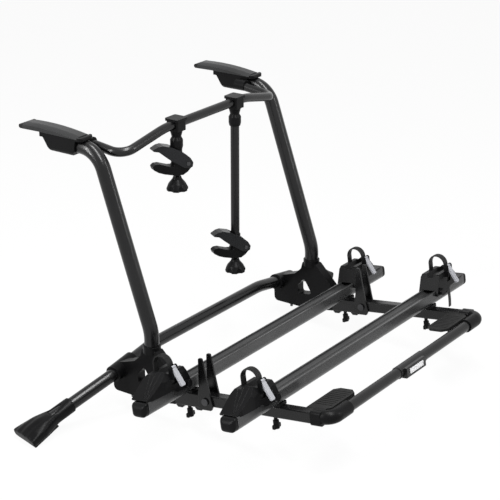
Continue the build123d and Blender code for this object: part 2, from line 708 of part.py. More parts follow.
def wing_knob(index):
    """Wing knob on a stud below the arm, drawn about its own axis."""
    base = ARM_TOP + (ARM_FRONT_HIGH if index == 0 else ARM_REAR_HIGH)
    knob = Location((0, 0, -WING_STEM / 2)) * Cylinder(WING_STEM_R, WING_STEM)
    knob += Location((0, 0, -WING_STEM - WING_HIGH / 2)) * Cylinder(WING_HUB_R, WING_HIGH)
    wing = Box(WING_SPAN, WING_THICK, WING_HIGH * WING_SHARE)
    wing = fillet(wing.edges().filter_by(Axis.Y), WING_THICK / 2)
    knob += Location((0, 0, -WING_STEM - WING_HIGH + WING_HIGH * WING_SHARE / 2)) * wing
    return REST * (Location((HALF_SPACING, -WING_S[index], -base - FIT)) * knob)


def rear_bar():
    """Tube across the back with a thicker sleeve and a small square handle on it."""
    points = [(-REAR_HALF, -REAR_S, -REAR_N), (REAR_HALF, -REAR_S, -REAR_N)]
    body = tube(points, 0, REAR_R, REAR_WALL)
    sleeve = rod((SLEEVE_X[0], -REAR_S, -REAR_N), (SLEEVE_X[1], -REAR_S, -REAR_N), REAR_R + REAR_WALL)
    handle = Box(HANDLE_LONG, HANDLE_DEEP, HANDLE_HIGH)
    handle = fillet(handle.edges().filter_by(Axis.X), PAD_RIB)
    sleeve += Location((HANDLE_X, -REAR_S - HANDLE_DEEP / 2, -REAR_N - HANDLE_DROP)) * handle
    sleeve -= rod((SLEEVE_X[0] - OVERRUN, -REAR_S, -REAR_N), (SLEEVE_X[1] + OVERRUN, -REAR_S, -REAR_N),
                  REAR_R - FIT)
    return REST * (body + sleeve)


def elbow():
    """Cast corner: a square sleeve on the arm turning into a round socket for the rear bar."""
    arm_n = -ARM_TOP - ARM_REAR_HIGH / 2
    start = ARM_END - ELBOW_SLEEVE
    points = [(HALF_SPACING, -start - ELBOW_SLEEVE / 2, -REAR_N), (HALF_SPACING, -REAR_S, -REAR_N),
              (REAR_HALF - ELBOW_SLEEVE, -REAR_S, -REAR_N)]
    body = tube(points, ELBOW_BEND, ELBOW_R, 0)
    wide = ARM_WIDTH + 2 * ELBOW_WALL
    high = ARM_REAR_HIGH + 2 * ELBOW_WALL
    sleeve = Box(wide, ELBOW_SLEEVE, high)
    sleeve = fillet(sleeve.edges().filter_by(Axis.Y), ARM_EDGE + ELBOW_WALL)
    body += Location((HALF_SPACING, -start - ELBOW_SLEEVE / 2, arm_n)) * sleeve
    room = Box(ARM_WIDTH + 2 * FIT, ELBOW_SLEEVE + OVERRUN, ARM_REAR_HIGH + 2 * FIT)
    body -= Location((HALF_SPACING, -start - (ELBOW_SLEEVE - OVERRUN) / 2 - FIT, arm_n)) * room
    body -= rod((REAR_HALF - ELBOW_SLEEVE - OVERRUN, -REAR_S, -REAR_N), (REAR_HALF + FIT, -REAR_S, -REAR_N),
                REAR_R + FIT)
    return REST * body


def corner_pad():
    """Ribbed step plate in the corner between the arm and the rear bar."""
    out = HALF_SPACING - ARM_WIDTH / 2 - FIT
    elbow_start = ARM_END - ELBOW_SLEEVE
    elbow_x = HALF_SPACING - ARM_WIDTH / 2 - ELBOW_WALL - 2 * FIT
    points = [(out, -PAD_START), (out, -elbow_start + FIT), (elbow_x, -elbow_start + FIT),
              (elbow_x, -PAD_END + PAD_NOTCH), (elbow_x - PAD_NOTCH, -PAD_END),
              (PAD_IN + PAD_NOTCH, -PAD_END), (PAD_IN, -PAD_END + PAD_NOTCH),
              (PAD_IN, -PAD_START - PAD_NOTCH), (PAD_IN + PAD_NOTCH, -PAD_START)]
    plate = extrude(make_face(Polyline(*points, close=True)), amount=-PAD_THICK)
    ribs = int((out - PAD_IN - 2 * PAD_NOTCH) / PAD_RIB_PITCH)
    for number in range(ribs):
        x = PAD_IN + PAD_NOTCH + PAD_RIB_PITCH * (number + RIB_MIDDLE_SHARE)
        slot = Box(PAD_RIB, PAD_END - PAD_START - 2 * PAD_CORNER, PAD_RIB)
        plate -= Location((x, -(PAD_START + PAD_END) / 2, 0)) * slot
    skirt = Box(out - PAD_IN - 2 * PAD_NOTCH, PAD_RIB, PAD_SKIRT)
    plate += Location(((out + PAD_IN) / 2, -PAD_END + PAD_RIB / 2, -PAD_THICK - PAD_SKIRT / 2 + FIT)) * skirt
    return REST * (Location((0, 0, -PAD_N)) * plate)


def hook_top():
    """The long arc along the top of the cover blade, seen from the side."""
    middle = HOOK_BACK + (HOOK_NOSE - HOOK_BACK) * HOOK_PEAK_SHARE
    start = (HOOK_BACK, HOOK_LIP + HOOK_SIDE)
    return ThreePointArc(start, (middle, HOOK_CROWN), (HOOK_NOSE, HOOK_CROWN - HOOK_DIP))


def hook_profile():
    """Side view of the cover blade: a long shallow arc falling to the nose."""
    front = HOOK_TIP_Y - 2 * ROLL_R
    nose_top = HOOK_TIP_Z + ROLL_R
    rest = Polyline((HOOK_NOSE, HOOK_CROWN - HOOK_DIP), (front, nose_top), (front, HOOK_TIP_Z - ROLL_R),
                    (HOUSING_FRONT, HOOK_LIP), (HOOK_BACK, HOOK_LIP), (HOOK_BACK, HOOK_LIP + HOOK_SIDE))
    return Plane.YZ * make_face([hook_top(), rest])


def hook_crown():
    """A crowned band turned about the centre of the blade's long arc."""
    arc = hook_top()
    centre_y = arc.arc_center.X
    centre_z = arc.arc_center.Y
    half = HOOK_WIDTH / 2
    high = arc.radius + SEAM
    side = arc.radius - HOOK_SIDE
    low = side - HOOK_WIDTH
    outline = [Polyline((-half, side), (-half, low), (half, low), (half, side)),
               ThreePointArc((half, side), (0, high), (-half, side))]
    face = Plane.XZ * make_face(outline)
    axis = Axis((0, 0, 0), (1, 0, 0))
    face = face.rotate(axis, HOOK_SWEEP)
    band = revolve(face, axis=axis, revolution_arc=-2 * HOOK_SWEEP)
    return Location((0, centre_y, centre_z)) * band


def hook_blade():
    """Crowned cover over the hook, hollow at the front, with a key that slides in the housing."""
    half = HOOK_WIDTH / 2
    body = Location((-half, 0, 0)) * extrude(hook_profile(), amount=HOOK_WIDTH, dir=(1, 0, 0))
    body &= hook_crown()
    inner = HOOK_WIDTH - 2 * HOOK_WALL
    start = HOUSING_FRONT + HOOK_WALL
    end = HOOK_TIP_Y - 2 * ROLL_R - HOOK_WALL
    room = Location((0, (start + end) / 2, HOOK_LIP)) * Box(inner, end - start, 2 * HOOK_SIDE)
    body -= room
    key_length = HOUSING_FRONT - KEY_START - KEY_TRAVEL - HOOK_WALL
    key = Box(KEY_WIDTH, key_length, 2 * KEY_DEPTH)
    body += Location((0, KEY_START + key_length / 2, HOOK_LIP)) * key
    return Location((HALF_SPACING, 0, 0)) * body


def hook_roll():
    """Rubber lip along the front edge of the blade."""
    centre = (0, HOOK_TIP_Y - ROLL_R, HOOK_TIP_Z)
    body = Rotation(0, 90, 0) * Cylinder(ROLL_R, HOOK_WIDTH - 2 * FIT)
    body += Location((0, -(ROLL_R - FIT) / 2, 0)) * Box(HOOK_WIDTH - 2 * FIT, ROLL_R - FIT, 2 * ROLL_R)
    return Location((HALF_SPACING, 0, 0)) * Location(centre) * body


def hook_housing():
    """Cast housing around the end of the upright, with a rounded cap behind the blade."""
    top = HOOK_LIP - FIT
    cap_back = HOOK_BACK - CAP_LONG
    tube_top = UPRIGHT_RISE + UPRIGHT_R + SEAM
    cap_top = HOOK_LIP + HOOK_SIDE - SEAM
    outline = [(cap_back, tube_top), (cap_back, cap_top), (HOOK_BACK - FIT, cap_top),
               (HOOK_BACK - FIT, top), (HOUSING_FRONT, top), (HOUSING_FRONT, top - HOUSING_STEP),
               (HOUSING_FRONT - HOUSING_STEP, top - HOUSING_STEP), (HOUSING_HEEL, HOUSING_BASE),
               (HOOK_BACK + UPRIGHT_R, HOUSING_BASE), (HOOK_BACK + HOUSING_STEP, HOUSING_BASE + HOUSING_STEP),
               (HOOK_BACK + HOUSING_STEP / 2, tube_top)]
    bends = [SEAM, CAP_ROUND, SEAM, FIT, SEAM, SEAM, SEAM, CAP_ROUND, CAP_ROUND, SEAM, SEAM]
    half = HOUSING_WIDTH / 2
    body = prism(outline, -half, half, bends)
    section_points = [(-half, HOUSING_BASE), (half, HOUSING_BASE), (half, HOOK_CROWN), (-half, HOOK_CROWN)]
    section = FilletPolyline(*section_points, radius=[HOUSING_ROUND, HOUSING_ROUND, CAP_ROUND, CAP_ROUND],
                             close=True)
    body &= extrude(Plane.XZ * make_face(section), amount=HOUSING_FRONT + OVERRUN, dir=(0, 1, 0))
    plan_points = [(-half, cap_back), (half, cap_back), (half, HOUSING_FRONT), (-half, HOUSING_FRONT)]
    plan = FilletPolyline(*plan_points, radius=[CAP_CORNER, CAP_CORNER, SEAM, SEAM], close=True)
    body &= Location((0, 0, HOUSING_BASE)) * extrude(make_face(plan), amount=HOOK_CROWN - HOUSING_BASE)
    body = Location((HALF_SPACING, 0, 0)) * body
    leg_z = HOOP_Z - HOOP_DROP + HOOP_LEG_LIFT
    web_x = (HOOP_CORNER_X + HALF_SPACING - half) / 2
    sleeve_start = HOOP_LEG_END - SLEEVE_LONG + OVERRUN
    sleeve = rod((HOOP_CORNER_X, sleeve_start, leg_z), (HOOP_CORNER_X, HOOP_LEG_END + OVERRUN, leg_z),
                 HOOP_R + SLEEVE_WALL)
    web = Box(HALF_SPACING - half - HOOP_CORNER_X + HOOP_R, SLEEVE_LONG, 2 * HOOP_R)
    body += sleeve
    body += Location((web_x, sleeve_start + SLEEVE_LONG / 2, leg_z)) * web
    corner_y = UPRIGHT_LEAN * UPRIGHT_RISE
    room_points = [(HALF_SPACING, 0, 0), (HALF_SPACING, corner_y, UPRIGHT_RISE),
                   (HALF_SPACING, corner_y + UPRIGHT_REACH + FIT, UPRIGHT_RISE + UPRIGHT_LIFT)]
    body -= tube(room_points, TOP_BEND, UPRIGHT_R + FIT, 0)
    leg = hoop_points()[-2:]
    leg_end = Vector(*leg[1]) + (Vector(*leg[1]) - Vector(*leg[0])).normalized() * FIT
    body -= rod(leg[0], tuple(leg_end), HOOP_R + FIT)
    slot_long = HOUSING_FRONT - HOOK_WALL - KEY_START + FIT
    slot = Box(KEY_WIDTH + 2 * FIT, slot_long, 2 * (KEY_DEPTH + FIT))
    body -= Location((HALF_SPACING, KEY_START - FIT + slot_long / 2, HOOK_LIP)) * slot
    return body


def foot_plane():
    """Plane square to the lower bar's leg where its sleeve begins; its x is the paddle's width."""
    leg = Vector(1, LEG_FORWARD, -LEG_DOWN)
    across = Vector(-LEG_FORWARD, 1, 0)
    return Plane(origin=leg_place(FOOT_START_X), x_dir=across, z_dir=leg)


def foot_section(width, low, high, edge):
    points = [(-width / 2, low), (width / 2, low), (width / 2, high), (-width / 2, high)]
    return make_face(FilletPolyline(*points, radius=edge, close=True))


def foot():
    """Paddle foot: a round sleeve on the leg that flares to a broad flat end."""
    half = FOOT_SLEEVE / 2
    plane = foot_plane()
    width_shares = ((0, 1), (0.36, 1.06), (0.68, 1.9), (1, FOOT_WIDTH / FOOT_SLEEVE))
    sections = []
    for place_share, width_share in width_shares:
        low = -half + (half - FOOT_END_THICK / 2 - FOOT_RISE) * place_share
        high = half - (half - FOOT_END_THICK / 2 + FOOT_RISE) * place_share
        edge = (high - low) / 2 * (ROUND_FOOT_SHARE - place_share / 2)
        face = foot_section(FOOT_SLEEVE * width_share, low, high, edge)
        sections.append(plane * Location((0, 0, FOOT_LENGTH * place_share)) * face)
    body = loft(sections, ruled=True)
    body -= plane * Location((0, 0, -OVERRUN)) * Cylinder(
        BAR_R + FIT, (BAR_END_X - FOOT_START_X) * leg_stretch() + FIT + OVERRUN,
        align=(Align.CENTER, Align.CENTER, Align.MIN))
    return body


def leg_stretch():
    """Length along the leg for each unit along X."""
    return math.sqrt(1 + LEG_FORWARD ** 2 + LEG_DOWN ** 2)


def foot_sole():
    """Rubber sole under the paddle."""
    plane = foot_plane()
    half = FOOT_SLEEVE / 2
    drop = half - FOOT_END_THICK / 2 - FOOT_RISE
    start_y = -half + drop * SOLE_START_SHARE - FIT
    end_y = -half + drop - FIT
    start_z = FOOT_LENGTH * SOLE_START_SHARE
    end_z = FOOT_LENGTH - SOLE_INSET
    side = make_face(Polyline((start_y, start_z), (end_y, end_z), (end_y - SOLE_THICK, end_z),
                              (start_y - SOLE_THICK, start_z), close=True))
    slab = plane * (Plane.YZ * side)
    slab = extrude(slab, amount=FOOT_WIDTH / 2, both=True)
    narrow = FOOT_SLEEVE / 2
    wide = FOOT_WIDTH / 2 - SOLE_INSET
    plan_points = [(-narrow, start_z), (narrow, start_z), (wide, end_z), (-wide, end_z)]
    plan = plane * (Plane.XZ * make_face(Polyline(*plan_points, close=True)))
    return slab & extrude(plan, amount=2 * half + OVERRUN, both=True)


def arm_places(index):
    return ARM_X[index], HOOP_Y


def arm_clamp(index):
    """Clamp block over the hoop with a neck that swells round the end of the rod."""
    x, y = arm_places(index)
    top = HOOP_Z + HOOP_R + CLAMP_OVER
    base = HOOP_Z - HOOP_R - CLAMP_OVER
    block = Box(CLAMP_LONG, CLAMP_DEEP, top - base)
    block = fillet(block.edges().filter_by(Axis.Z), CLAMP_EDGE)
    body = Location((x, y, (top + base) / 2)) * block
    plate = Box(CLAMP_LONG + 2 * CLAMP_PLATE_GROW, CLAMP_DEEP + 2 * CLAMP_PLATE_GROW, CLAMP_PLATE)
    plate = fillet(plate.edges().filter_by(Axis.Z), CLAMP_EDGE)
    body += Location((x, y, top - CLAMP_PLATE / 2)) * plate
    half = SWELL_LONG / 2
    profile = [(0, base + OVERRUN), (SWELL_R, base + OVERRUN), (SWELL_R, base), (NECK_R, SWELL_Z + half),
               (SWELL_R, SWELL_Z + half / 2), (SWELL_R, SWELL_Z - half / 2),
               (ROD_R + SLEEVE_WALL, SWELL_Z - half), (0, SWELL_Z - half)]
    neck = revolve(Plane.XZ * make_face(Polyline(*profile, close=True)), axis=Axis.Z)
    body += Location((x, y, 0)) * neck
    body -= rod((x - CLAMP_LONG, y, HOOP_Z), (x + CLAMP_LONG, y, HOOP_Z), HOOP_R + RUNNING)
    body -= rod((x, y, SWELL_Z - half - OVERRUN), (x, y, SWELL_Z + FIT), ROD_R + FIT)
    slit = Box(CLAMP_LONG + OVERRUN, CLAMP_DEEP, SEAM)
    body -= Location((x, y - CLAMP_DEEP, HOOP_Z)) * slit
    return body


def arm_rod(index):
    x, y = arm_places(index)
    base = JAW_Z[index] - CLAW_DROP * ROD_FOOT_SHARE
    top = SWELL_Z
    rod_solid = rod((x, y, base), (x, y, top), ROD_R)
    return rod_solid - rod((x, y, base - OVERRUN), (x, y, top - HOOP_WALL), ROD_R - HOOP_WALL)


def jaw_plane(index):
    """Upright plane of the claws: its x points out of the mouth and its y is up."""
    x, y = arm_places(index)
    turn = math.radians(JAW_TURN)
    mouth = Vector(-math.cos(turn), math.sin(turn), 0)
    across = Vector(math.sin(turn), math.cos(turn), 0)
    return Plane(origin=(x, y, JAW_Z[index]), x_dir=mouth, z_dir=across)


def claw_plan(plane, wide, tip):
    """Plan view of a claw, tapering towards its tip."""
    back = -JAW_LONG
    points = [(back, -wide / 2), (JAW_SLOT, -wide / 2), (JAW_LONG, -tip / 2), (JAW_LONG, tip / 2),
              (JAW_SLOT, wide / 2), (back, wide / 2)]
    face = plane * (Plane.XZ * make_face(Polyline(*points, close=True)))
    return extrude(face, amount=2 * JAW_LONG, both=True)


def arm_head(index):
    """Lower claw and head, with the socket for the rod and the boss for the jaw pin."""
    plane = jaw_plane(index)
    outline = shaped(LOWER_CLAW_SHARES, JAW_LONG, JAW_HIGH)
    face = make_face(FilletPolyline(*outline, radius=SLEEVE_WALL, close=True))
    body = extrude(plane * face, amount=HEAD_WIDTH / 2, both=True)
    body &= claw_plan(plane, HEAD_WIDTH, JAW_TIP_WIDTH - SLEEVE_WALL)
    x, y = arm_places(index)
    low = JAW_Z[index] - CLAW_DROP * HEAD_BASE_SHARE
    body += rod((x, y, low), (x, y, JAW_Z[index] + HEAD_TOP), HEAD_SOCKET_R)
    stud_end = JAW_Z[index] - KNOB_TOP - KNOB_HIGH / 2
    body += rod((x, y, stud_end), (x, y, low + OVERRUN), STUD_R)
    pin = plane * Location((JAW_PIVOT_U, JAW_PIVOT_V, 0)) * Cylinder(JAW_PIVOT_R + RUNNING, JAW_WIDTH)
    body -= pin
    seat = JAW_Z[index] - CLAW_DROP * ROD_FOOT_SHARE - FIT
    body -= rod((x, y, seat), (x, y, JAW_Z[index] + HEAD_TOP + OVERRUN), ROD_R + RUNNING)
    return body


def arm_jaw(index):
    """Upper claw: a hooked beak in front, forked behind to straddle the rod."""
    plane = jaw_plane(index)
    outline = shaped(UPPER_CLAW_SHARES, JAW_LONG, JAW_HIGH)
    face = make_face(FilletPolyline(*outline, radius=SLEEVE_WALL, close=True))
    body = extrude(plane * face, amount=JAW_WIDTH / 2, both=True)
    body &= claw_plan(plane, JAW_WIDTH, JAW_TIP_WIDTH)
    slot = Box(JAW_SLOT + JAW_LONG, 4 * JAW_LONG, HEAD_WIDTH + 2 * FIT)
    body -= plane * Location(((JAW_SLOT - JAW_LONG) / 2, 0, 0)) * slot
    pin = Cylinder(JAW_PIVOT_R + RUNNING, JAW_WIDTH + OVERRUN)
    body -= plane * Location((JAW_PIVOT_U, JAW_PIVOT_V, 0)) * pin
    return body


def jaw_pin(index):
    """Pin through the fork and the head, with a flat head at each end."""
    plane = jaw_plane(index)
    pin = Cylinder(JAW_PIVOT_R, JAW_WIDTH + 2 * SEAM)
    for side in (-1, 1):
        pin += Location((0, 0, side * (JAW_WIDTH / 2 + FIT + SEAM / 2))) * Cylinder(JAW_PIVOT_R + SEAM, SEAM)
    return plane * Location((JAW_PIVOT_U, JAW_PIVOT_V, 0)) * pin


def arm_knob(index):
    """Bell-shaped clamp knob with a scalloped rim."""
    x, y = arm_places(index)
    top = -KNOB_TOP
    profile = [(0, top), (KNOB_NECK_R, top)]
    profile += [(KNOB_R * r_share, top - KNOB_HIGH * z_share) for r_share, z_share in KNOB_SHARES]
    profile += [(0, top - KNOB_HIGH)]
    body = revolve(Plane.XZ * make_face(Polyline(*profile, close=True)), axis=Axis.Z)
    for number in range(KNOB_CUTS):
        turn = 2 * math.pi * number / KNOB_CUTS
        reach = KNOB_R * KNOB_CUT_SHARE
        cut = Location((reach * math.cos(turn), reach * math.sin(turn), top - KNOB_HIGH / 2))
        body -= cut * Cylinder(KNOB_CUT_R, KNOB_HIGH + OVERRUN)
    stud_room = Cylinder(STUD_R + RUNNING, KNOB_HIGH / 2 + FIT, align=(Align.CENTER, Align.CENTER, Align.MAX))
    body -= Location((0, 0, top + FIT)) * stud_room
    body = Location((x, y, JAW_Z[index])) * body
    return body


def build():
    """Make every piece and write it."""
    keep("top_hoop", top_hoop())
    keep("lower_bar", lower_bar())
    bolt = bracket_bolts()
    keep("bracket_bolts", Compound([bolt, mirror(bolt, about=Plane.YZ)]))
    cheeks = hinge_cheeks()
    keep("hinge_cheeks", Compound(cheeks.solids() + mirror(cheeks, about=Plane.YZ).solids()))
    pin = hinge_pin()
    keep("hinge_pins", Compound([pin, mirror(pin, about=Plane.YZ)]))
    corner = elbow()
    keep("corner_elbows", Compound([corner, mirror(corner, about=Plane.YZ)]))
    pad = corner_pad()
    keep("corner_pads", Compound([pad, mirror(pad, about=Plane.YZ)]))
    keep("rear_bar", rear_bar())
    for index, name in enumerate(("front", "rear")):
        body, saddles = rail(index)
        keep(f"{name}_rail", body)
        keep(f"{name}_rail_saddles", Compound(saddles))
        keep(f"{name}_rail_plugs", Compound(rail_plugs(index)))
    for side_name, side in SIDES:
        keep(f"{side_name}_upright", on_side(upright(), side))
        keep(f"{side_name}_side_bracket", on_side(side_bracket(), side))
        keep(f"{side_name}_front_arm", on_side(front_arm(), side))
        keep(f"{side_name}_rear_arm", on_side(rear_arm(), side))
        keep(f"{side_name}_hook_housing", on_side(hook_housing(), side))
        keep(f"{side_name}_hook_blade", on_side(hook_blade(), side))
        keep(f"{side_name}_hook_lip", on_side(hook_roll(), side))
        keep(f"{side_name}_foot", on_side(foot(), side))
        keep(f"{side_name}_foot_sole", on_side(foot_sole(), side))
        for index, name in enumerate(("front", "rear")):
            keep(f"{name}_{side_name}_wheel_holder", on_rail(REST * holder(index), side))
            keep(f"{name}_{side_name}_wheel_strap", on_rail(REST * strap(index), side))
            keep(f"{name}_{side_name}_buckle", on_rail(REST * buckle(index), side))
            keep(f"{name}_{side_name}_rail_knob", on_side(wing_knob(index), side))
    for index, name in enumerate(("short", "long")):
        keep(f"{name}_arm_clamp", arm_clamp(index))
        keep(f"{name}_arm_rod", arm_rod(index))
        keep(f"{name}_arm_head", arm_head(index))
        keep(f"{name}_arm_jaw", arm_jaw(index))
        keep(f"{name}_arm_jaw_pin", jaw_pin(index))
        keep(f"{name}_arm_knob", arm_knob(index))


build()
print(len(kept), "pieces")
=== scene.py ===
import json
import math

import bmesh
import bpy
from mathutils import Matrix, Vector

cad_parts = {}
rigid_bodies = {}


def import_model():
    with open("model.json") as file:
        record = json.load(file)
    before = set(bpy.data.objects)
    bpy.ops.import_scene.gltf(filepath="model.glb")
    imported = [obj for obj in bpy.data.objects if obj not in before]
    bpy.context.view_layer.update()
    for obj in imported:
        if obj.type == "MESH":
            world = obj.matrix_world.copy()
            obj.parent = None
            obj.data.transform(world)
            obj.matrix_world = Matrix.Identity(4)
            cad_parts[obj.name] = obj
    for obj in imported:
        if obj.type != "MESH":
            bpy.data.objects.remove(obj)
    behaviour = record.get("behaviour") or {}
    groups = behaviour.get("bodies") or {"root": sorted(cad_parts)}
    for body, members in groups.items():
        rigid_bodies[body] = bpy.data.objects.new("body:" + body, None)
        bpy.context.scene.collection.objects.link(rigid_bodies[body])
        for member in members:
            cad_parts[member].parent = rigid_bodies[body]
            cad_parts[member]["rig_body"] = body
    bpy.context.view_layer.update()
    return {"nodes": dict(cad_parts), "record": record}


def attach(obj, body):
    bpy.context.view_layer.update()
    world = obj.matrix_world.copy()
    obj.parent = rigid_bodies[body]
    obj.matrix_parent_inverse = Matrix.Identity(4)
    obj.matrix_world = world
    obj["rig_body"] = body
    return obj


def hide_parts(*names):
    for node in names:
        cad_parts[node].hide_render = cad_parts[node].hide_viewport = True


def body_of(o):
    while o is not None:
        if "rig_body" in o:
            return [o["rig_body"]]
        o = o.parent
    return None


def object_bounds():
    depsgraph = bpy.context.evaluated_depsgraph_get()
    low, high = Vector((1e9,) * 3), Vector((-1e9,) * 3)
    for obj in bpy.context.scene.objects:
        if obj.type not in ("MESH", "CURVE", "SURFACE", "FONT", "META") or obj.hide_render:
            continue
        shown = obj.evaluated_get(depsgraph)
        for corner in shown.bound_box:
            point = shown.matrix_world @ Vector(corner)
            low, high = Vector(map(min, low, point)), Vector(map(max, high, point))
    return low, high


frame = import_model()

NODES = frame["nodes"]
RECORD = frame["record"]

# Places given in the platform's own level are in millimetres from the bend of the frame
PER_METRE = 1000
PLATFORM_TILT = math.radians(-8.1)
BEND_FORWARD = 0.412
BEND_UP = 0.499
RAIL_ROWS = (("front", 109.4), ("rear", 387.5))
RAIL_SHIFT = -14
HOLDER_OUT = 463
ACROSS = Vector((1, 0, 0))

# The camera that gives the photograph's view, in the frame's own place
CAMERA_PLACE = (-3.3706, -2.8609, 1.2283)
CAMERA_AZIMUTH = math.radians(-54.5086)
CAMERA_ELEVATION = math.radians(21.1968)
CAMERA_LENS = 116.05
SENSOR_WIDTH = 36.0
CAMERA_REACH = 60

# How every coat is broken up: scale, detail and roughness of each noise, and the span of it that counts
CLOUD = (9.0, 5.0)
CLOUD_SPAN = (0.35, 0.65)
# The edge noise breaks up worn edges on most finishes, and the painted highlight along the rails' lips
WEAR_AND_SHEEN_NOISE = (55.0, 6.0, 0.7)
WEAR_AND_SHEEN_SPAN = (0.42, 0.66)
WEAR_SHARE = 0.15
SMUDGE = (26.0, 6.0, 0.62)
SMUDGE_SPAN = (0.3, 0.7)
GLOSS_SPREAD = (-0.03, 0.04)
EDGE_RADIUS = 0.0016
EDGE_TURN = (0.80, 0.97)
SOFT_RADIUS = 0.0012
BEVEL_SAMPLES = 4

# Relief of every coat: detail of the noise, strength and depth
GRAIN = (3.0, 0.08, 0.0002)
RIPPLE = (2.0, 0.06, 0.0005)

# Each finish: dark, light and worn colour, roughness, scales of grain and ripple, and the shader's own
# values; on the rails the light worn colour is a painted highlight along the edges of the lips
FINISHES = {
    "powder_coat": ((0.003, 0.003, 0.0032), (0.005, 0.005, 0.0053), (0.04, 0.04, 0.041),
                    0.24, 900.0, 60.0, {"level": 0.30}),
    "cast_black": ((0.003, 0.003, 0.0032), (0.005, 0.005, 0.0053), (0.04, 0.04, 0.041),
                   0.32, 620.0, 45.0, {"level": 0.08}),
    "dark_steel": ((0.05, 0.05, 0.052), (0.085, 0.085, 0.088), (0.22, 0.22, 0.23),
                   0.34, 700.0, 60.0, {"metal": 1.0}),
    # Rails: the light edge colour with its large share is a painted highlight along the lips, not wear
    "rail_grey": ((0.037, 0.0374, 0.038), (0.049, 0.0495, 0.050), (0.30, 0.30, 0.303),
                  0.27, 800.0, 40.0, {"metal": 0.40, "wear_and_sheen_share": 0.8}),
    "moulded_black": ((0.003, 0.003, 0.0032), (0.005, 0.005, 0.0053), (0.03, 0.03, 0.03),
                      0.34, 520.0, 70.0, {"level": 0.08}),
    "blade_grey": ((0.016, 0.0163, 0.0167), (0.022, 0.0224, 0.023), (0.09, 0.09, 0.09),
                   0.38, 700.0, 50.0, {"level": 0.2}),
    "claw_black": ((0.005, 0.0054, 0.0062), (0.008, 0.0085, 0.0098), (0.05, 0.052, 0.056),
                   0.26, 600.0, 60.0, {"level": 0.22}),
    "strap_black": ((0.007, 0.007, 0.007), (0.011, 0.011, 0.011), (0.04, 0.04, 0.04),
                    0.40, 420.0, 60.0, {"level": 0.16}),
    "buckle_grey": ((0.26, 0.265, 0.285), (0.33, 0.335, 0.355), (0.45, 0.45, 0.47),
                    0.42, 700.0, 50.0, {"level": 0.4}),
    "plate": ((0.66, 0.66, 0.67), (0.67, 0.67, 0.68), (0.68, 0.68, 0.69),
              0.35, 700.0, 50.0, {"level": 0.4}),
    "rubber_black": ((0.008, 0.008, 0.008), (0.013, 0.013, 0.013), (0.04, 0.04, 0.04),
                     0.55, 380.0, 60.0, {"level": 0.14}),
}

# Worn-round forms: share of each smoothing pass, then the cell of the new mesh and the number of passes
SMOOTH_SHARE = 0.5
PLUG_ROUND = (0.0016, 40)
FOOT_ROUND = (0.0020, 28)
SOLE_ROUND = (0.0014, 12)

# The paddle of a foot: its direction and start on the right side, then its half widths and its rises along it
FOOT_ALONG = (1.0, 0.27, -0.344)
FOOT_START = (0.552, 0.13594 - BEND_FORWARD, -0.17777 - BEND_UP)
FOOT_HALF = (0.021, 0.028)
FOOT_FLARE = (0.04, 0.158)
CROWN_HIGH = 0.010
CROWN_RISE = (0.05, 0.11)
CROWN_END = (0.13, 0.165)
CROWN_DROP = 0.55
FOLD_HIGH = 0.0006
FOLD_PITCH = 0.024
FOLD_RISE = (0.06, 0.12)
CROWN_FACE = (-0.004, 0.006)

# The steep nose of a far wheel holder, across the rack and down from the rail's level
NOSE_CUTS = (0.476, 0.480, 0.485, 0.491, 0.498, 0.506, 0.518, 0.532)
NOSE_FROM = 0.4738
NOSE_TOP = -0.050
NOSE_DROPS = ((0.0470, 0.470, 0.502), (0.003, 0.502, 0.55))
NOSE_CREASE = math.radians(32)

# The blank plate in the handle: its face in the platform's level, its ends, and its eased edges
PLATE_BACK = 567.3
PLATE_HIGH = (-157.5, -171.5)
PLATE_ENDS = ((-0.039, 0.0006), (-0.0383, 0.0), (0.0273, 0.0), (0.028, 0.0006))
PLATE_EASE = 0.0005
PLATE_OUT = (-0.0006, 0.0008, 0.0014)

# The straps: radius of the arch, top of the arch, and the ribs along arch and leg
ARCH_RADIUS = 26.0
ARCH_TOP = -12.7
ARCH_RIBS = 20
LEG_RIBS = 7
LEG_FIRST = 3
RIB_PITCH = 4.0
RIB_OUTLINE = ((-0.7, -0.3), (-0.45, 0.7), (0.45, 0.7), (0.7, -0.3))
RIB_HALF = 0.0075

# The loose tail of a far strap: its top, length, bow and section
TAIL_STEPS = 12
TAIL_BACK = 26.4
TAIL_TOP = -114.2
TAIL_LONG = 52
TAIL_BOW = 1.2
TAIL_HALF = 0.0065
TAIL_THICK = 0.002
TAIL_EASE = 0.0005

# Stage and light
FLOOR_SIZE = 60
FLOOR_GREY = (0.86, 0.86, 0.86, 1.0)
FLOOR_WHITE_SHARE = 0.94
WHITE = (1, 1, 1, 1)
WORLD_LIGHT = 0.15
LAMP_TARGET = (0.0, -0.45, -0.3)
LAMPS = (
    ("top_strip", (-0.6, -1.3, 2.6), (0.5, 3.4), 150),
    ("left_strip", (-3.2, 0.9, 1.3), (0.2, 2.6), 110),
    ("right_strip", (1.2, -3.8, 1.5), (0.2, 2.4), 40),
)


def set_camera():
    """Camera without roll, looking down along its azimuth and elevation."""
    back = Vector((math.sin(CAMERA_AZIMUTH) * math.cos(CAMERA_ELEVATION),
                   -math.cos(CAMERA_AZIMUTH) * math.cos(CAMERA_ELEVATION),
                   math.sin(CAMERA_ELEVATION)))
    data = bpy.data.cameras.new("camera")
    data.lens = CAMERA_LENS
    data.sensor_width = SENSOR_WIDTH
    data.clip_end = CAMERA_REACH
    camera = bpy.data.objects.new("camera", data)
    camera.location = CAMERA_PLACE
    camera.rotation_euler = back.to_track_quat("Z", "Y").to_euler()
    bpy.context.collection.objects.link(camera)
    bpy.context.scene.camera = camera


def new_material(name):
    """An empty material with a principled shader."""
    material = bpy.data.materials.new(name)
    material.use_nodes = True
    tree = material.node_tree
    tree.nodes.clear()
    output = tree.nodes.new("ShaderNodeOutputMaterial")
    shader = tree.nodes.new("ShaderNodeBsdfPrincipled")
    tree.links.new(shader.outputs["BSDF"], output.inputs["Surface"])
    return material, tree, shader


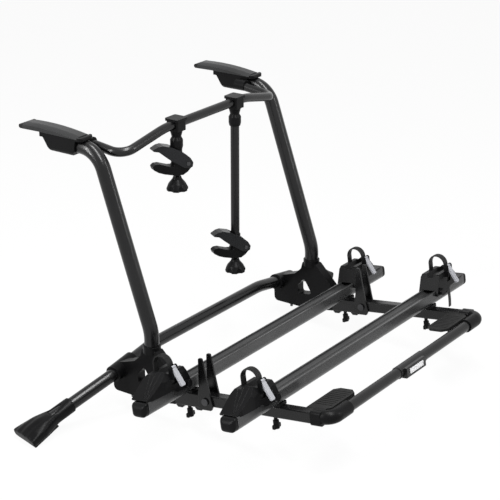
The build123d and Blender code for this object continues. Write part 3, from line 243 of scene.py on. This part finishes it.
def noise(tree, scale, detail=4.0, rough=0.5):
    """Noise over the object's own place, so that it never slides."""
    place = tree.nodes.new("ShaderNodeTexCoord")
    node = tree.nodes.new("ShaderNodeTexNoise")
    node.inputs["Scale"].default_value = scale
    node.inputs["Detail"].default_value = detail
    node.inputs["Roughness"].default_value = rough
    tree.links.new(place.outputs["Object"], node.inputs["Vector"])
    return node.outputs["Fac"]


def ramp(tree, value, low, high, low_out=0.0, high_out=1.0):
    """Map a value's range onto another, clamped."""
    node = tree.nodes.new("ShaderNodeMapRange")
    node.inputs["From Min"].default_value = low
    node.inputs["From Max"].default_value = high
    node.inputs["To Min"].default_value = low_out
    node.inputs["To Max"].default_value = high_out
    tree.links.new(value, node.inputs["Value"])
    return node.outputs["Result"]


def mix(tree, amount, first, second):
    """Blend two colours by an amount."""
    node = tree.nodes.new("ShaderNodeMix")
    node.data_type = "RGBA"
    tree.links.new(amount, node.inputs["Factor"])
    for socket, colour in ((node.inputs["A"], first), (node.inputs["B"], second)):
        if isinstance(colour, tuple):
            socket.default_value = (*colour, 1.0)
        else:
            tree.links.new(colour, socket)
    return node.outputs["Result"]


def edge_mask(tree, radius, low, high):
    """Where the surface turns sharply: the gap between the true and a rounded normal."""
    bevel = tree.nodes.new("ShaderNodeBevel")
    bevel.samples = BEVEL_SAMPLES
    bevel.inputs["Radius"].default_value = radius
    geometry = tree.nodes.new("ShaderNodeNewGeometry")
    dot = tree.nodes.new("ShaderNodeVectorMath")
    dot.operation = "DOT_PRODUCT"
    tree.links.new(bevel.outputs["Normal"], dot.inputs[0])
    tree.links.new(geometry.outputs["Normal"], dot.inputs[1])
    return ramp(tree, dot.outputs["Value"], high, low)


def bump(tree, shader, layers, soften):
    """Stack height layers into the normal, over edges softened by a small radius."""
    bevel = tree.nodes.new("ShaderNodeBevel")
    bevel.samples = BEVEL_SAMPLES
    bevel.inputs["Radius"].default_value = soften
    normal = bevel.outputs["Normal"]
    for height, strength, distance in layers:
        node = tree.nodes.new("ShaderNodeBump")
        node.inputs["Strength"].default_value = strength
        node.inputs["Distance"].default_value = distance
        tree.links.new(height, node.inputs["Height"])
        tree.links.new(normal, node.inputs["Normal"])
        normal = node.outputs["Normal"]
    tree.links.new(normal, shader.inputs["Normal"])


def finish_coat(name, dark, light, edge_wear_and_sheen, rough, grain, ripple, metal=0.0, level=0.5, wear_and_sheen_share=WEAR_SHARE):
    """A coated or moulded surface: mottled colour, fine grain, uneven gloss and worn edges; on the rails the
    edge colour is a painted highlight.
    """
    material, tree, shader = new_material(name)
    cloud = ramp(tree, noise(tree, *CLOUD), *CLOUD_SPAN)
    base = mix(tree, cloud, dark, light)
    edges = edge_mask(tree, EDGE_RADIUS, *EDGE_TURN)
    broken = ramp(tree, noise(tree, *WEAR_AND_SHEEN_NOISE), *WEAR_AND_SHEEN_SPAN, 0.0, wear_and_sheen_share)
    # Edge colour: worn paint on most finishes, a painted highlight along the rails' lips
    wear_and_sheen_mask = tree.nodes.new("ShaderNodeMath")
    wear_and_sheen_mask.operation = "MULTIPLY"
    tree.links.new(edges, wear_and_sheen_mask.inputs[0])
    tree.links.new(broken, wear_and_sheen_mask.inputs[1])
    tree.links.new(mix(tree, wear_and_sheen_mask.outputs["Value"], base, edge_wear_and_sheen), shader.inputs["Base Color"])
    smoothest, roughest = (rough + change for change in GLOSS_SPREAD)
    gloss = ramp(tree, noise(tree, *SMUDGE), *SMUDGE_SPAN, smoothest, roughest)
    tree.links.new(gloss, shader.inputs["Roughness"])
    layers = []
    for scale, (detail, strength, distance) in ((grain, GRAIN), (ripple, RIPPLE)):
        layers.append((noise(tree, scale, detail), strength, distance))
    bump(tree, shader, layers, SOFT_RADIUS)
    shader.inputs["Metallic"].default_value = metal
    shader.inputs["Specular IOR Level"].default_value = level
    return material


def make_materials():
    """One material for each slot of the record, and one for the plate."""
    made = {}
    for name, (dark, light, edge_wear_and_sheen, rough, grain, ripple, own) in FINISHES.items():
        made[name] = finish_coat(name, dark, light, edge_wear_and_sheen, rough, grain, ripple, **own)
    return made


def new_piece(name, mesh, material, body):
    """A piece of the dressed rack that rides on a body."""
    piece = bpy.data.objects.new(name, mesh)
    bpy.context.collection.objects.link(piece)
    mesh.materials.clear()
    mesh.materials.append(material)
    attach(piece, body)
    return piece


def apply_modifiers(piece):
    """Swap the mesh for the one that its modifiers give."""
    graph = bpy.context.evaluated_depsgraph_get()
    mesh = bpy.data.meshes.new_from_object(piece.evaluated_get(graph))
    piece.modifiers.clear()
    piece.data = mesh
    for polygon in mesh.polygons:
        polygon.use_smooth = True


def softened(node, name, material, voxel, rounds, crown=None):
    """A node's form with its corners worn round, in the place of the node."""
    source = NODES[node]
    piece = new_piece(name, source.data.copy(), material, body_of(source)[0])
    remesh = piece.modifiers.new("remesh", "REMESH")
    remesh.mode = "VOXEL"
    remesh.voxel_size = voxel
    smooth = piece.modifiers.new("smooth", "SMOOTH")
    smooth.factor = SMOOTH_SHARE
    smooth.iterations = rounds
    apply_modifiers(piece)
    piece.data.materials.clear()
    piece.data.materials.append(material)
    if crown:
        for vertex in piece.data.vertices:
            vertex.co = crown(vertex.co)
    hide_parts(node)
    return piece


def step(value, low, high):
    """Smooth rise from nought at low to one at high."""
    share = min(max((value - low) / (high - low), 0.0), 1.0)
    return share * share * (3 - 2 * share)


def foot_crown(side):
    """Raise the middle of a foot's paddle into a low crown, with shallow lengthwise folds."""
    along = Vector((side * FOOT_ALONG[0], *FOOT_ALONG[1:])).normalized()
    start = Vector((side * FOOT_START[0], *FOOT_START[1:]))
    across = along.cross(Vector((0, 0, 1))).normalized()
    up = across.cross(along).normalized()

    def crown(place):
        away = place - start
        run = away.dot(along)
        wide = away.dot(across)
        high = away.dot(up)
        half = FOOT_HALF[0] + FOOT_HALF[1] * step(run, *FOOT_FLARE)
        share = max(0.0, 1 - (wide / half) ** 2)
        lift = CROWN_HIGH * share * step(run, *CROWN_RISE) * (1 - CROWN_DROP * step(run, *CROWN_END))
        fold = FOLD_HIGH * math.cos(wide * 2 * math.pi / FOLD_PITCH) * step(run, *FOLD_RISE)
        return place + up * ((lift + fold) * step(high, *CROWN_FACE))
    return crown


def level(s, n):
    """Frame place of a point in the platform's own tilted level: s rearward and n up from the bend."""
    y = -s * math.cos(PLATFORM_TILT) - n * math.sin(PLATFORM_TILT)
    z = -s * math.sin(PLATFORM_TILT) + n * math.cos(PLATFORM_TILT)
    return y / PER_METRE - BEND_FORWARD, z / PER_METRE - BEND_UP


def join_rings(made, rings):
    """Faces round and at both ends of a row of matching rings of corners."""
    count = len(rings[0])
    for first, second in zip(rings, rings[1:]):
        for k in range(count):
            after = (k + 1) % count
            made.faces.new((first[k], first[after], second[after], second[k]))
    made.faces.new(list(reversed(rings[0])))
    made.faces.new(rings[-1])


def to_mesh(made, name):
    """A mesh of the faces made so far, all turned outward."""
    bmesh.ops.recalc_face_normals(made, faces=made.faces)
    mesh = bpy.data.meshes.new(name)
    made.to_mesh(mesh)
    made.free()
    return mesh


def rearward(direction):
    """The same direction, turned to point away from the vehicle."""
    return -direction if direction.y > 0 else direction


def strip_mesh(name, rows, half, thick, edge):
    """A thin strip along rows of (centre, sideways, outward), with eased edges."""
    outline = ((-half, edge), (-half + edge, 0), (half - edge, 0), (half, edge),
               (half, thick - edge), (half - edge, thick), (-half + edge, thick), (-half, thick - edge))
    made = bmesh.new()
    rings = []
    for centre, sideways, outward in rows:
        ring = []
        for across, out in outline:
            ring.append(made.verts.new(centre + sideways * across + outward * out))
        rings.append(ring)
    join_rings(made, rings)
    return to_mesh(made, name)


def short_nose(row, s_rail, material):
    """A far wheel holder, whose nose drops steeply to a low apron on the rail."""
    node = f"{row}_right_wheel_holder"
    name = f"{row}_right_holder_form"
    source = NODES[node]
    made = bmesh.new()
    made.from_mesh(source.data)
    for cut in NOSE_CUTS:
        whole = made.verts[:] + made.edges[:] + made.faces[:]
        bmesh.ops.bisect_plane(made, geom=whole, plane_co=(cut, 0, 0), plane_no=(1, 0, 0))
    middle = Vector((0, *level(s_rail, 0)))
    rise = (Vector((0, *level(s_rail, 1))) - middle).normalized()
    for vertex in made.verts:
        if vertex.co.x > NOSE_FROM:
            high = (vertex.co - middle).dot(rise)
            limit = NOSE_TOP - sum(drop * step(vertex.co.x, low, end) for drop, low, end in NOSE_DROPS)
            if high > limit:
                vertex.co = vertex.co + rise * (limit - high)
    mesh = bpy.data.meshes.new(name)
    made.to_mesh(mesh)
    made.free()
    for polygon in mesh.polygons:
        polygon.use_smooth = True
    mesh.set_sharp_from_angle(angle=NOSE_CREASE)
    piece = new_piece(name, mesh, material, body_of(source)[0])
    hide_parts(node)


def blank_plate(material):
    """Plain blank plate let into the rear face of the bar's handle."""
    high, low = (Vector((0, *level(PLATE_BACK, n))) for n in PLATE_HIGH)
    rise = (high - low).normalized()
    outward = rearward(ACROSS.cross(rise).normalized())
    root, shoulder, face = PLATE_OUT
    made = bmesh.new()
    rings = []
    for x, inset in PLATE_ENDS:
        middle = (low + high) / 2 + Vector((x, 0, 0))
        half = (high - low).length / 2 - inset
        outline = ((-half, root), (-half, shoulder), (PLATE_EASE - half, face),
                   (half - PLATE_EASE, face), (half, shoulder), (half, root))
        rings.append([made.verts.new(middle + rise * up + outward * out) for up, out in outline])
    join_rings(made, rings)
    plate = new_piece("blank_plate", to_mesh(made, "blank_plate"), material, body_of(NODES["rear_bar"])[0])


def strap_place(side):
    """Where a strap stands across the rack."""
    sign = -1 if side == "left" else 1
    return (sign * HOLDER_OUT + RAIL_SHIFT) / PER_METRE


def strap_body(row, side):
    """The body that a strap moves with."""
    return body_of(NODES[f"{row}_{side}_wheel_strap"])[0]


def strap_ribs(row, side, s_rail, material):
    """Fine cross ribs along the arch and the front leg of one wheel strap."""
    name = f"{row}_{side}_strap_ribs"
    x = strap_place(side)
    spring = ARCH_TOP - ARCH_RADIUS
    places = []
    for k in range(1, ARCH_RIBS + 1):
        angle = math.pi * k / ARCH_RIBS
        places.append((ARCH_RADIUS * math.cos(angle), spring + ARCH_RADIUS * math.sin(angle), angle))
    for k in range(LEG_RIBS):
        places.append((-ARCH_RADIUS, spring - LEG_FIRST - RIB_PITCH * k, math.pi))
    made = bmesh.new()
    for off, n, angle in places:
        out_s, out_n = math.cos(angle), math.sin(angle)
        corners = []
        for reach, lift in RIB_OUTLINE:
            corners.append((off + out_s * lift - out_n * reach, n + out_n * lift + out_s * reach))
        rings = []
        for across in (-RIB_HALF, RIB_HALF):
            ring = []
            for s, high in corners:
                ring.append(made.verts.new((x + across, *level(s_rail + s, high))))
            rings.append(ring)
        join_rings(made, rings)
    ribs = new_piece(name, to_mesh(made, name), material, strap_body(row, side))


def strap_tail(row, side, s_rail, material):
    """The loose tail of a far strap, hanging with a slight bow."""
    name = f"{row}_{side}_strap_tail"
    centres = []
    for k in range(TAIL_STEPS + 1):
        share = k / TAIL_STEPS
        bow = TAIL_BOW * math.sin(share * math.pi)
        place = level(s_rail + TAIL_BACK + bow, TAIL_TOP - TAIL_LONG * share)
        centres.append(Vector((strap_place(side), *place)))
    rows = []
    for k, centre in enumerate(centres):
        ahead = centres[min(k + 1, TAIL_STEPS)] - centres[max(k - 1, 0)]
        rows.append((centre, ACROSS, rearward(ahead.cross(ACROSS).normalized())))
    mesh = strip_mesh(name, rows, TAIL_HALF, TAIL_THICK, TAIL_EASE)
    tail = new_piece(name, mesh, material, strap_body(row, side))


def add_pieces(materials):
    """The pieces that only the dressed rack has."""
    black = materials["moulded_black"]
    blank_plate(materials["plate"])
    for row, s_rail in RAIL_ROWS:
        strap_ribs(row, "left", s_rail, materials["strap_black"])
        strap_ribs(row, "right", s_rail, materials["strap_black"])
        strap_tail(row, "right", s_rail, materials["strap_black"])
        short_nose(row, s_rail, black)
        softened(f"{row}_rail_plugs", f"{row}_rail_stoppers", black, *PLUG_ROUND)
    for side, sign in (("left", -1), ("right", 1)):
        softened(f"{side}_foot", f"{side}_foot_form", black, *FOOT_ROUND, foot_crown(sign))
        softened(f"{side}_foot_sole", f"{side}_foot_tread", materials["rubber_black"], *SOLE_ROUND)


def dress_nodes(materials):
    """Give every carried-over node the material of its slot."""
    slots = {row["node"]: row["material_slot"] for row in RECORD["subparts"]}
    for name, node in NODES.items():
        node.data.materials.clear()
        node.data.materials.append(materials[slots[name]])
        for polygon in node.data.polygons:
            polygon.material_index = 0


def seen_amount(tree):
    """One for what the camera sees, straight or in a gloss or through glass."""
    path = tree.nodes.new("ShaderNodeLightPath")
    total = path.outputs["Is Camera Ray"]
    for name in ("Is Glossy Ray", "Is Transmission Ray"):
        node = tree.nodes.new("ShaderNodeMath")
        node.operation = "MAXIMUM"
        tree.links.new(total, node.inputs[0])
        tree.links.new(path.outputs[name], node.inputs[1])
        total = node.outputs["Value"]
    return total


def floor_paint():
    """Pale matt paint that shows as white and keeps a faint shadow of the rack."""
    material = bpy.data.materials.new("floor_paint")
    material.use_nodes = True
    tree = material.node_tree
    tree.nodes.clear()
    output = tree.nodes.new("ShaderNodeOutputMaterial")
    matt = tree.nodes.new("ShaderNodeBsdfDiffuse")
    matt.inputs["Color"].default_value = FLOOR_GREY
    white = tree.nodes.new("ShaderNodeEmission")
    white.inputs["Strength"].default_value = 1.0
    share = tree.nodes.new("ShaderNodeMath")
    share.operation = "MULTIPLY"
    share.inputs[1].default_value = FLOOR_WHITE_SHARE
    tree.links.new(seen_amount(tree), share.inputs[0])
    blend = tree.nodes.new("ShaderNodeMixShader")
    tree.links.new(share.outputs["Value"], blend.inputs["Fac"])
    tree.links.new(matt.outputs["BSDF"], blend.inputs[1])
    tree.links.new(white.outputs["Emission"], blend.inputs[2])
    tree.links.new(blend.outputs["Shader"], output.inputs["Surface"])
    return material


def set_stage():
    """A broad pale floor at the lowest point of the rack."""
    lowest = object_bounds()[0][2]
    bpy.ops.mesh.primitive_plane_add(size=FLOOR_SIZE, location=(0, 0, lowest))
    floor = bpy.context.object
    floor.name = "floor"
    floor.data.materials.append(floor_paint())


def area_light(name, place, size, power):
    """A long lamp aimed at the middle of the rack."""
    data = bpy.data.lights.new(name, "AREA")
    data.shape = "RECTANGLE"
    data.size, data.size_y = size
    data.energy = power
    lamp = bpy.data.objects.new(name, data)
    lamp.location = place
    lamp.rotation_euler = (Vector(place) - Vector(LAMP_TARGET)).to_track_quat("Z", "Y").to_euler()
    bpy.context.collection.objects.link(lamp)


def set_light():
    """A long lamp overhead, weaker ones at the sides and a pale surround."""
    for lamp in LAMPS:
        area_light(*lamp)
    world = bpy.data.worlds.new("world")
    bpy.context.scene.world = world
    world.use_nodes = True
    tree = world.node_tree
    tree.nodes.clear()
    output = tree.nodes.new("ShaderNodeOutputWorld")
    light = tree.nodes.new("ShaderNodeBackground")
    light.inputs["Color"].default_value = WHITE
    light.inputs["Strength"].default_value = WORLD_LIGHT
    seen = tree.nodes.new("ShaderNodeBackground")
    seen.inputs["Color"].default_value = WHITE
    seen.inputs["Strength"].default_value = 1.0
    blend = tree.nodes.new("ShaderNodeMixShader")
    tree.links.new(seen_amount(tree), blend.inputs["Fac"])
    tree.links.new(light.outputs["Background"], blend.inputs[1])
    tree.links.new(seen.outputs["Background"], blend.inputs[2])
    tree.links.new(blend.outputs["Shader"], output.inputs["Surface"])


set_camera()
set_stage()
set_light()
finishes = make_materials()
dress_nodes(finishes)
add_pieces(finishes)
bpy.context.scene.view_settings.view_transform = "Standard"
